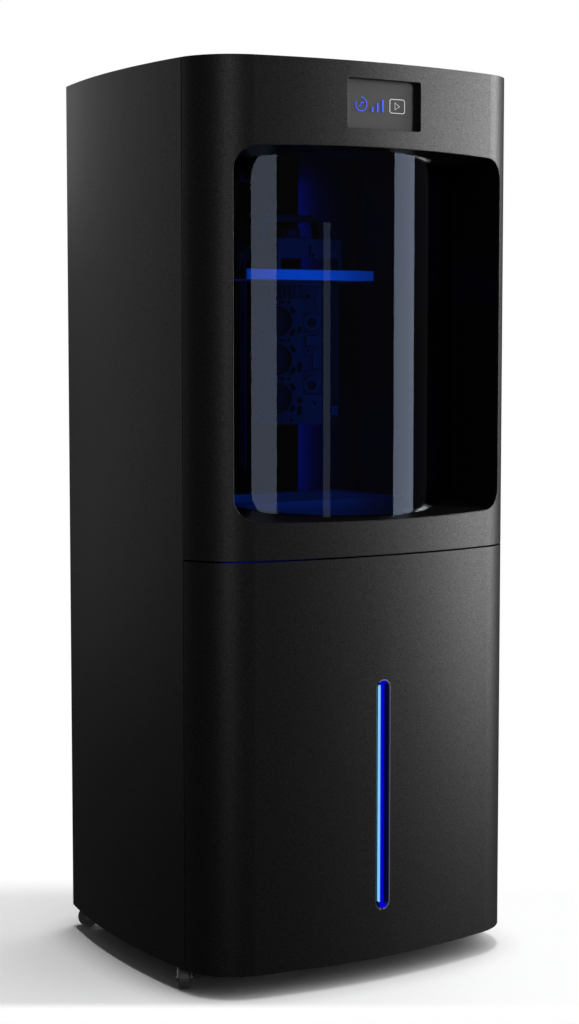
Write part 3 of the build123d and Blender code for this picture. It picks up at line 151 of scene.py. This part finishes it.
powder = finish(
    "powder_coat_black", (0.0055, 0.0055, 0.0058), 0.44, grain=2.2, relief=0.035, mottle=0.1,
    rough_spread=0.01, sparkle=0.5, edge=1.2,
)
powder_rear = finish(
    "powder_coat_rear", (0.014, 0.014, 0.015), 0.5, grain=1.2, relief=0.05, mottle=0.1, rough_spread=0.02,
)
enamel = finish(
    "frame_enamel", (0.02, 0.02, 0.022), 0.45, grain=3.0, relief=0.03, mottle=0.15, rough_spread=0.05,
)
liner = finish(
    "liner_paint", (0.02, 0.02, 0.021), 0.5, grain=1.5, relief=0.03, mottle=0.08, rough_spread=0.04,
)
trim = finish(
    "window_trim", (0.004, 0.004, 0.0045), 0.36, specular=0.25, grain=0.9, relief=0.012, mottle=0.1,
    rough_spread=0.03,
)
blasted = finish(
    "blasted_aluminium", (0.78, 0.79, 0.8), 0.5, metal=0.25, grain=0.6, relief=0.015, mottle=0.04,
    rough_spread=0.04,
)
anodised = finish(
    "anodised_aluminium", (0.5, 0.51, 0.53), 0.38, metal=0.8, grain=0.6, relief=0.01, mottle=0.05,
    rough_spread=0.04,
)
dark_anodised = finish(
    "dark_anodised", (0.027, 0.032, 0.029), 0.42, metal=0.4, grain=0.6, relief=0.01, mottle=0.05,
    rough_spread=0.04,
)
brushed = finish(
    "machined_steel", (0.56, 0.57, 0.58), 0.28, metal=1.0, grain=0.5, relief=0.006, mottle=0.05,
    rough_spread=0.05, stretch=(1, 1, 0.05),
)
zinc = finish(
    "zinc_plate", (0.24, 0.24, 0.235), 0.48, metal=1.0, grain=2.5, relief=0.02, mottle=0.12,
    rough_spread=0.08,
)
galvanised = finish(
    "galvanised_sheet", (0.5, 0.51, 0.52), 0.42, metal=1.0, grain=6.0, relief=0.01, mottle=0.15,
    rough_spread=0.08,
)
nylon = finish(
    "caster_nylon", (0.12, 0.12, 0.125), 0.45, grain=1.0, relief=0.02, mottle=0.15, rough_spread=0.06,
)
plastic = finish(
    "moulded_black", (0.02, 0.02, 0.021), 0.45, grain=0.7, relief=0.02, mottle=0.1, rough_spread=0.04,
)
motor = finish(
    "motor_black", (0.02, 0.02, 0.02), 0.55, grain=1.5, relief=0.03, mottle=0.1, rough_spread=0.05,
)
resin = finish(
    "cured_resin", (0.010, 0.0155, 0.012), 0.42, grain=1.0, relief=0.03, mottle=0.06, rough_spread=0.04,
    stretch=(1, 1, 12),
)
optics = finish(
    "optical_black", (0.03, 0.03, 0.05), 0.12, grain=4.0, relief=0.002, mottle=0.1, rough_spread=0.02,
)
display_glass = finish(
    "display_glass", (0.0055, 0.0055, 0.006), 0.43, specular=0.6, grain=1.2, relief=0.01, mottle=0.05,
)
pedal_plastic = finish(
    "pedal_plastic", (0.05, 0.05, 0.052), 0.5, grain=0.8, relief=0.03, mottle=0.1, rough_spread=0.05,
)
# a pale grey bead along the groove's edge: a painted highlight where the light catches that edge
bead_highlight = finish(
    "groove_bead_highlight", (0.25, 0.25, 0.255), 0.4, grain=1.0, relief=0.01, mottle=0.1, rough_spread=0.03,
)


def lit_across(name, base, rough, stops, axis, start, end):
    """A plastic whose emission colour follows stops along one axis, from start to end in metres.

    Each stop is its place, 0 to 1, and its colour."""
    material, tree, shader = new_material(name)
    shader.inputs["Base Color"].default_value = (*base, 1)
    shader.inputs["Roughness"].default_value = rough
    place = tree.nodes.new("ShaderNodeTexCoord")
    parts = tree.nodes.new("ShaderNodeSeparateXYZ")
    along = tree.nodes.new("ShaderNodeMapRange")
    along.inputs["From Min"].default_value = start
    along.inputs["From Max"].default_value = end
    ramp = tree.nodes.new("ShaderNodeValToRGB")
    while len(ramp.color_ramp.elements) < len(stops):
        ramp.color_ramp.elements.new(0.5)
    for element, (position, color) in zip(ramp.color_ramp.elements, stops):
        element.position = position
        element.color = (*color, 1)
    cells = tree.nodes.new("ShaderNodeTexNoise")
    cells.inputs["Scale"].default_value = 40.0
    spread = tree.nodes.new("ShaderNodeMapRange")
    spread.inputs["To Min"].default_value = 0.92
    spread.inputs["To Max"].default_value = 1.08
    links = tree.links
    links.new(place.outputs["Object"], parts.inputs["Vector"])
    links.new(parts.outputs[axis], along.inputs["Value"])
    links.new(along.outputs["Result"], ramp.inputs["Fac"])
    links.new(ramp.outputs["Color"], shader.inputs["Emission Color"])
    links.new(place.outputs["Object"], cells.inputs["Vector"])
    links.new(cells.outputs["Fac"], spread.inputs["Value"])
    links.new(spread.outputs["Result"], shader.inputs["Emission Strength"])
    return material


# the lens glows deep blue, with a painted highlight in pale blue on its left half; on the groove, the
# lens's light is painted deep blue on its right half, fading out up to a dark wall
DARK = (0.0, 0.0, 0.0)
DEEP = (0.0, 0.0, 0.55)
PALE_HIGHLIGHT = (0.21, 0.6, 1.0)
# the lens's own blue glow, with a painted highlight in pale blue across its left half
lens_glow_and_highlight = lit_across(
    "light_bar_glow_and_highlight", (0.02, 0.03, 0.05), 0.4,
    ((0.0, PALE_HIGHLIGHT), (0.42, PALE_HIGHLIGHT), (0.50, DEEP), (1.0, DEEP)), "X", -0.00375, 0.00375,
)
# the groove is no lamp: its deep blue is painted light from the lens on its right half only, fading to a
# dark wall
channel_painted_glow = lit_across(
    "light_channel", (0.006, 0.007, 0.012), 0.25,
    ((0.0, DARK), (0.50, DARK), (0.53, DEEP), (0.86, DEEP), (0.95, (0, 0, 0.04)), (1.0, (0, 0, 0.008))),
    "X", -0.0126, 0.0126,
)
chamber_glow = glow("chamber_glow", (0.005, 0.045, 1.0), 1.6, base=(0.03, 0.04, 0.08))


def pane_material(name):
    """A smoked clear pane whose tint wanders a little."""
    material, tree, shader = new_material(name)
    shader.inputs["Transmission Weight"].default_value = 1.0
    shader.inputs["IOR"].default_value = 1.4
    shader.inputs["Roughness"].default_value = 0.0
    place = tree.nodes.new("ShaderNodeTexCoord")
    cells = tree.nodes.new("ShaderNodeTexNoise")
    cells.inputs["Scale"].default_value = 3.0
    tint = tree.nodes.new("ShaderNodeMix")
    tint.data_type = "RGBA"
    tint.inputs[6].default_value = (0.61, 0.71, 0.81, 1)
    tint.inputs[7].default_value = (0.63, 0.73, 0.83, 1)
    tree.links.new(place.outputs["Object"], cells.inputs["Vector"])
    tree.links.new(cells.outputs["Fac"], tint.inputs["Factor"])
    tree.links.new(tint.outputs[2], shader.inputs["Base Color"])
    return material


pane = pane_material("smoked_pane")
film = pane_material("release_film")

LOOKS = {
    powder: [
        "side_panel_left", "side_panel_right", "top_cover", "base_pan", "upper_door_shell",
        "lower_door_shell",
    ],
    powder_rear: ["rear_panel"],
    enamel: ["cabinet_frame", "hinge_arms"],
    liner: ["chamber_rear_liner", "chamber_liner_left", "chamber_liner_right", "column_cover"],
    trim: ["window_surround"],
    pane: ["window_glass"],
    film: ["release_film"],
    blasted: ["build_platform"],
    anodised: ["vat_frame", "deck_plate", "heat_sink", "carriage_plate", "z_tower"],
    dark_anodised: ["platform_arm", "platform_bracket", "platform_handle", "light_engine"],
    brushed: [
        "linear_rails", "rail_blocks", "screw_bearings", "ball_screw", "ball_nut", "hinge_pins",
        "door_catches",
    ],
    zinc: ["caster_plates"],
    plastic: ["fan_frame", "fan_rotor", "power_inlet", "rocker_switch", "clamp_knob", "panel_screws"],
    motor: ["z_motor"],
    galvanised: ["power_supply", "control_box"],
    display_glass: ["touchscreen"],
    channel_painted_glow: ["light_bar_channel"],
    lens_glow_and_highlight: ["light_bar_lens"],
    chamber_glow: ["chamber_light_strips"],
    optics: ["lcd_mask", "led_array"],
    resin: ["printed_part"],
    pedal_plastic: ["brake_pedal_front_left", "brake_pedal_front_right"],
}
for corner in ("front_left", "front_right", "rear_left", "rear_right"):
    LOOKS[zinc].append(f"caster_fork_{corner}")
    LOOKS.setdefault(nylon, []).append(f"caster_wheel_{corner}")

for material, names in LOOKS.items():
    for name in names:
        obj = NODES[name]
        obj.data.materials.clear()
        obj.data.materials.append(material)


# ---- helpers for pieces ------------------------------------------------------------------------
def wire(name, points, radius, body, material, closed=False):
    """A round wire through points, in metres, that rides on a body."""
    curve = bpy.data.curves.new(name, "CURVE")
    curve.dimensions = "3D"
    curve.bevel_depth = radius
    curve.bevel_resolution = 3
    curve.use_fill_caps = not closed
    spline = curve.splines.new("POLY")
    spline.points.add(len(points) - 1)
    for target, point in zip(spline.points, points):
        target.co = (*point, 1)
    spline.use_cyclic_u = closed
    obj = bpy.data.objects.new(name, curve)
    bpy.context.scene.collection.objects.link(obj)
    obj.data.materials.append(material)
    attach(obj, body)


def rounded_rectangle(half_x, half_z, radius, steps=12):
    """Points and outward normals round a rounded rectangle, anticlockwise from its right side."""
    result = []
    for quarter in range(4):
        sign_x = 1 if quarter in (0, 3) else -1
        sign_z = 1 if quarter in (0, 1) else -1
        for step in range(steps + 1):
            angle = math.radians(90 * quarter + 90 * step / steps)
            normal = Vector((math.cos(angle), math.sin(angle)))
            centre = Vector((sign_x * (half_x - radius), sign_z * (half_z - radius)))
            result.append((centre + normal * radius, normal))
    return result


# ---- window rim --------------------------------------------------------------------------------
RIM_SPACING = 12.0
RIM_INSET = 0.5
RIM_WIRE = 0.0009


def window_edge(inset):
    """The window opening's edge where it meets a level `inset` under the doors' outer face.

    The opening narrows with depth and the face is bowed, so each point's depth is found by repetition."""
    middle = (WINDOW_BOTTOM + WINDOW_TOP) / 2
    points = []
    dense = []
    base = rounded_rectangle(WINDOW_HALF, (WINDOW_TOP - WINDOW_BOTTOM) / 2, WINDOW_RADIUS)
    for index, (point, normal) in enumerate(base):
        following, normal_next = base[(index + 1) % len(base)]
        length = (following - point).length
        pieces = max(1, int(length / RIM_SPACING))
        for step in range(pieces):
            share = step / pieces
            dense.append((point.lerp(following, share), normal.lerp(normal_next, share).normalized()))
    for point, normal in dense:
        depth = 20.0
        for _ in range(12):
            place = point - normal * depth * WINDOW_TAPER
            depth = skin_depth(place.x) + inset
        points.append(at(place.x, depth, middle + place.y))
    return points


wire("window_rim", window_edge(RIM_INSET), RIM_WIRE, "upper_door", powder, closed=True)

# ---- groove of the light bar -------------------------------------------------------------------
# the bead is a painted highlight: it runs up the groove's lit right side and over its top, and stops short
# of its shaded left side
BEAD_INSET, BEAD_LEFT_END = 0.6, -11
BEAD_WIRE = 0.0012
bead_edge = [
    at(point.x, skin_depth(point.x) + BEAD_INSET, GROOVE_MIDDLE + point.y)
    for point, _ in rounded_rectangle(GROOVE_HALF, GROOVE_LENGTH_HALF, GROOVE_HALF - 0.01)
    if point.x > BEAD_LEFT_END and (point.x > 0 or point.y > 0)
]
bead_edge.sort(key=lambda place: (place.x < 0, place.z if place.x >= 0 else -place.z))
wire("groove_bead_highlight", bead_edge, BEAD_WIRE, "lower_door", bead_highlight)

# ---- display: a plain set of symbols, a ring with a level, three bars and a tile ------------------
ui_blue = glow("display_blue", (0.035, 0.10, 1.0), 1.05, base=(0.01, 0.02, 0.08))
ui_white = glow("display_white", (0.85, 0.87, 0.92), 0.75, base=(0.1, 0.1, 0.1))


def on_screen(x, z):
    """A point just in front of the display, in millimetres from its middle."""
    return at(x, SCREEN_DEPTH - SYMBOL_RISE, SCREEN_MIDDLE + z)


def arc(x, z, radius, start, end, steps=32):
    """Points round part of a circle on the display, from a start to an end angle in degrees."""
    angles = [math.radians(start + (end - start) * step / steps) for step in range(steps + 1)]
    return [on_screen(x + radius * math.cos(angle), z + radius * math.sin(angle)) for angle in angles]


def symbol(name, points, radius, material, closed=False):
    """A line on the display, with its radius in metres."""
    wire(name, points, radius, "upper_door", material, closed=closed)


symbol("display_ring", arc(-44, 0, 12, 90, -200), 0.0008, ui_blue)
level = [on_screen(-50, -3), on_screen(-46, -3), on_screen(-43, 3), on_screen(-38, 3)]
symbol("display_level", level, 0.0007, ui_blue)
for index, rise in enumerate((8, 15, 22)):
    x = -20 + 11 * index
    symbol(f"display_bar_{index + 1}", [on_screen(x, -12), on_screen(x, -12 + rise)], 0.0015, ui_blue)
tile = [on_screen(34 + point.x, point.y) for point, _ in rounded_rectangle(16, 12, 4, steps=5)]
symbol("display_tile", tile, 0.0006, ui_white, closed=True)
pointer = [on_screen(29, -6), on_screen(39, 0), on_screen(29, 6)]
symbol("display_pointer", pointer, 0.0006, ui_white, closed=True)

# ---- studio ------------------------------------------------------------------------------------
scene = bpy.context.scene
scene.view_settings.view_transform = "Standard"
scene.view_settings.look = "None"

FLOOR_HALF = 40.0

floor_mesh = bpy.data.meshes.new("floor")
edit = bmesh.new()
bmesh.ops.create_grid(edit, x_segments=1, y_segments=1, size=FLOOR_HALF)
edit.to_mesh(floor_mesh)
edit.free()
floor = bpy.data.objects.new("floor", floor_mesh)
scene.collection.objects.link(floor)
floor_look = finish(
    "studio_floor", (0.93, 0.93, 0.935), 0.7, specular=0.0, grain=20.0, relief=0.01, mottle=0.003,
)


def fade_to_white(material, direction, dark_from, dark_to, near, far):
    """Show a floor's own look only between two lines across `direction`: past them it burns out to white.

    It turns white from dark_from down to near, and from dark_to up to far, all in metres."""
    tree = material.node_tree
    links = tree.links
    place = tree.nodes.new("ShaderNodeTexCoord")
    along = tree.nodes.new("ShaderNodeVectorMath")
    along.operation = "DOT_PRODUCT"
    along.inputs[1].default_value = (*direction, 0)
    links.new(place.outputs["Object"], along.inputs[0])
    shares = []
    for start, end in ((dark_from, near), (dark_to, far)):
        share = tree.nodes.new("ShaderNodeMapRange")
        share.interpolation_type = "SMOOTHSTEP"
        share.inputs["From Min"].default_value = start
        share.inputs["From Max"].default_value = end
        links.new(along.outputs["Value"], share.inputs["Value"])
        shares.append(share)
    total = tree.nodes.new("ShaderNodeMath")
    total.operation = "MAXIMUM"
    links.new(shares[0].outputs["Result"], total.inputs[0])
    links.new(shares[1].outputs["Result"], total.inputs[1])
    white = tree.nodes.new("ShaderNodeEmission")
    white.inputs["Color"].default_value = (1, 1, 1, 1)
    mix = tree.nodes.new("ShaderNodeMixShader")
    output = tree.nodes["Material Output"]
    links.new(total.outputs["Value"], mix.inputs["Fac"])
    links.new(tree.nodes["Principled BSDF"].outputs["BSDF"], mix.inputs[1])
    links.new(white.outputs["Emission"], mix.inputs[2])
    links.new(mix.outputs["Shader"], output.inputs["Surface"])


fade_to_white(floor_look, (0.545, 0.838), -0.39, 0.28, -0.435, 0.47)
floor_mesh.materials.append(floor_look)
floor.visible_diffuse = False
floor.visible_glossy = False
floor.visible_transmission = False


def outside_share(tree):
    """An output that is 1 for light from the studio, and 0 once the light has come through the pane."""
    path = tree.nodes.new("ShaderNodeLightPath")
    clear = tree.nodes.new("ShaderNodeMath")
    clear.operation = "LESS_THAN"
    clear.inputs[1].default_value = 0.5
    tree.links.new(path.outputs["Transmission Depth"], clear.inputs[0])
    return clear.outputs["Value"]


def studio_world():
    """A white backdrop for the camera, and for all else a dim ambient light that grows with height."""
    world = bpy.data.worlds.new("studio")
    world.use_nodes = True
    tree = world.node_tree
    links = tree.links
    tree.nodes.clear()
    output = tree.nodes.new("ShaderNodeOutputWorld")
    path = tree.nodes.new("ShaderNodeLightPath")
    mix = tree.nodes.new("ShaderNodeMixShader")
    ambient = tree.nodes.new("ShaderNodeBackground")
    ambient.inputs["Color"].default_value = (1, 1, 1, 1)
    backdrop = tree.nodes.new("ShaderNodeBackground")
    backdrop.inputs["Color"].default_value = (1, 1, 1, 1)
    backdrop.inputs["Strength"].default_value = 1.0
    direction = tree.nodes.new("ShaderNodeTexCoord")
    along = tree.nodes.new("ShaderNodeSeparateXYZ")
    rise = tree.nodes.new("ShaderNodeMapRange")
    rise.inputs["From Min"].default_value = -0.35
    rise.inputs["From Max"].default_value = 0.3
    rise.inputs["To Min"].default_value = 0.026
    rise.inputs["To Max"].default_value = 0.075
    strength = tree.nodes.new("ShaderNodeMath")
    strength.operation = "MULTIPLY"
    links.new(direction.outputs["Generated"], along.inputs["Vector"])
    links.new(along.outputs["Z"], rise.inputs["Value"])
    links.new(outside_share(tree), strength.inputs[0])
    links.new(rise.outputs["Result"], strength.inputs[1])
    links.new(strength.outputs["Value"], ambient.inputs["Strength"])
    links.new(path.outputs["Is Camera Ray"], mix.inputs["Fac"])
    links.new(ambient.outputs["Background"], mix.inputs[1])
    links.new(backdrop.outputs["Background"], mix.inputs[2])
    links.new(mix.outputs["Shader"], output.inputs["Surface"])
    return world


scene.world = studio_world()


def named(*names):
    """The CAD objects of these names."""
    return [NODES[name] for name in names]


def receivers(name, members, exclude=False):
    """A group for a light that lights only these objects, or all but these."""
    group = bpy.data.collections.new(name)
    for member in members:
        group.objects.link(member)
    if exclude:
        for entry in group.collection_objects:
            entry.light_linking.link_state = "EXCLUDE"
    return group


def softbox(name, place, aim, size, radiance, group, color=(1, 1, 1)):
    """A rectangular light of a given radiance for one group, from place towards aim. Sizes in metres."""
    light = bpy.data.lights.new(name, "AREA")
    light.shape = "RECTANGLE"
    light.size, light.size_y = size
    light.energy = radiance * math.pi * size[0] * size[1]
    light.color = color
    obj = bpy.data.objects.new(name, light)
    obj.location = place
    obj.rotation_euler = (Vector(aim) - Vector(place)).to_track_quat("-Z", "Y").to_euler()
    scene.collection.objects.link(obj)
    obj.visible_camera = False
    obj.visible_transmission = False
    obj.light_linking.receiver_collection = group
    return obj


def heading_point(origin, heading, distance, height):
    """A point at a compass heading (clockwise from +Y) and distance from an origin on plan."""
    angle = math.radians(heading)
    x, y = origin
    return Vector((x + distance * math.sin(angle), y + distance * math.cos(angle), height))


LAMP_DISTANCE = 3.5
CHAMBER_PARTS = named(
    "chamber_rear_liner", "chamber_liner_left", "chamber_liner_right", "column_cover", "build_platform",
    "vat_frame", "release_film", "lcd_mask", "deck_plate", "platform_arm", "platform_bracket",
    "platform_handle", "clamp_knob", "printed_part", "carriage_plate", "rail_blocks", "linear_rails",
    "ball_screw", "ball_nut", "z_tower",
)
glass_only = receivers("glass_only", named("window_glass"))
outside_only = receivers("outside_only", named("window_glass") + CHAMBER_PARTS + [floor], exclude=True)

# strips that show as reflections in the pane: name, origin on plan, heading, height, width, tallness
# and radiance
COOL = (0.62, 0.74, 1.0)
PANE_LEFT, PANE_MIDDLE, PANE_RIGHT = (-0.196, -0.217), (-0.098, -0.271), (0.063, -0.28)
STRIPS = (
    ("strip_left", PANE_LEFT, 231.5, 1.2, 2.34, 3.4, 2.2),
    ("strip_middle", PANE_MIDDLE, 180.6, 0.35, 0.3, 2.4, 0.8),
    ("strip_right", PANE_RIGHT, 120.7, 1.2, 1.22, 3.4, 3.7),
)
for name, origin, heading, height, width, tallness, radiance in STRIPS:
    place = heading_point(origin, heading, LAMP_DISTANCE, height)
    strip = softbox(name, place, (*origin, height), (width, tallness), radiance, glass_only, COOL)
    strip.visible_diffuse = False
    strip.data.use_nodes = True
    tree = strip.data.node_tree
    tree.links.new(outside_share(tree), tree.nodes["Emission"].inputs["Strength"])

# softboxes for the cabinet, in the same terms
RIGHT, CORNER, SIDE = (0.15, -0.3), (-0.29, -0.27), (-0.35, 0.1)
BOXES = (
    ("right_rear_low", RIGHT, 104, 0.85, 0.7, 1.5, 7.0),
    ("right_rear_high", RIGHT, 104, 2.4, 0.7, 1.6, 21.0),
    ("right_low", RIGHT, 119, 0.85, 0.9, 1.5, 10.0),
    ("right_front_high", RIGHT, 133, 2.4, 0.7, 1.6, 9.5),
    ("corner_high", CORNER, 208, 2.4, 0.45, 1.6, 1.3),
    ("corner_left", CORNER, 220, 1.65, 0.45, 3.1, 3.0),
    ("side_low", SIDE, 322, 0.85, 1.2, 1.5, 0.35),
    ("side_high", SIDE, 322, 2.4, 1.2, 1.6, 0.47),
    ("side_rear_low", SIDE, 345, 0.85, 1.0, 1.5, 0.23),
    ("side_rear_high", SIDE, 345, 2.4, 1.0, 1.6, 0.58),
    ("side_back_high", SIDE, 4, 2.4, 0.9, 1.6, 1.05),
)
for name, origin, heading, height, width, tallness, radiance in BOXES:
    place = heading_point(origin, heading, LAMP_DISTANCE, height)
    softbox(name, place, (*origin, height), (width, tallness), radiance, outside_only)

# soft light from behind, for the rear panel and what is on it
rear_only = receivers("rear_only", named(
    "rear_panel", "panel_screws", "fan_frame", "fan_rotor", "power_inlet", "rocker_switch",
))
softbox("rear_soft", (0.5, 3.0, 2.0), (0, 0.3, 0.9), (2.6, 2.4), 3.0, rear_only)

# light that leaks from the chamber into the seam between the doors
LAMP_BLUE = (0.0, 0.03, 1.0)
seam_only = receivers("seam_only", named("lower_door_shell", "upper_door_shell"))
softbox("seam_leak", at(-215, 60, 732.5), at(-215, 0, 732.5), (0.22, 0.0025), 1.0, seam_only, LAMP_BLUE)

# blue light inside the print chamber: a lamp for the platform, vat and workpiece, a glow along the
# column's right edge, and one behind the column
lit_inside = receivers("lit_inside", named(
    "build_platform", "vat_frame", "release_film", "lcd_mask", "platform_bracket", "platform_handle",
    "clamp_knob", "printed_part", "platform_arm", "carriage_plate", "ball_screw",
))
LAMP_PALE_BLUE = (0.0, 0.105, 1.0)
softbox("chamber_front", at(0, 120, 1090), at(0, 330, 1090), (0.24, 0.52), 1.0, lit_inside, LAMP_PALE_BLUE)
liner_only = receivers("liner_only", named("chamber_rear_liner", "column_cover"))
for name, height in (("glow_high", 1330), ("glow_low", 900)):
    softbox(name, at(130, 455, height), at(172, 480, height), (0.01, 0.2), 18.0, liner_only, LAMP_BLUE)
drive = receivers("drive", named("z_tower", "linear_rails", "rail_blocks", "carriage_plate"))
softbox("glow_slot", at(0, 474, 1150), at(0, 520, 1150), (0.02, 0.6), 3.0, drive, LAMP_BLUE)

floor_only = receivers("floor_only", [floor])


def floor_sun(name, travel, energy, angle):
    """A sun that lights only the floor. Its angle, in degrees, sets how soft the cabinet's shadow is."""
    data = bpy.data.lights.new(name, "SUN")
    data.energy = energy
    data.angle = math.radians(angle)
    obj = bpy.data.objects.new(name, data)
    obj.rotation_euler = Vector(travel).to_track_quat("-Z", "Y").to_euler()
    scene.collection.objects.link(obj)
    obj.visible_glossy = False
    obj.light_linking.receiver_collection = floor_only


floor_sun("floor_over", (-0.005, 0.0, -1.0), 1.3, 5)
floor_sun("floor_right", (-0.7, 0.3, -0.75), 2.6, 100)

# ---- camera ------------------------------------------------------------------------------------
camera_data = bpy.data.cameras.new("camera")
camera_data.lens = 74.17
camera_data.sensor_width = 36.0
camera_data.clip_end = 200.0
camera = bpy.data.objects.new("camera", camera_data)
camera.location = (-2.1862, -3.3640, 1.1650)
camera.rotation_euler = Vector((0.5432, 0.8354, -0.0831)).to_track_quat("-Z", "Y").to_euler()
scene.collection.objects.link(camera)
scene.camera = camera
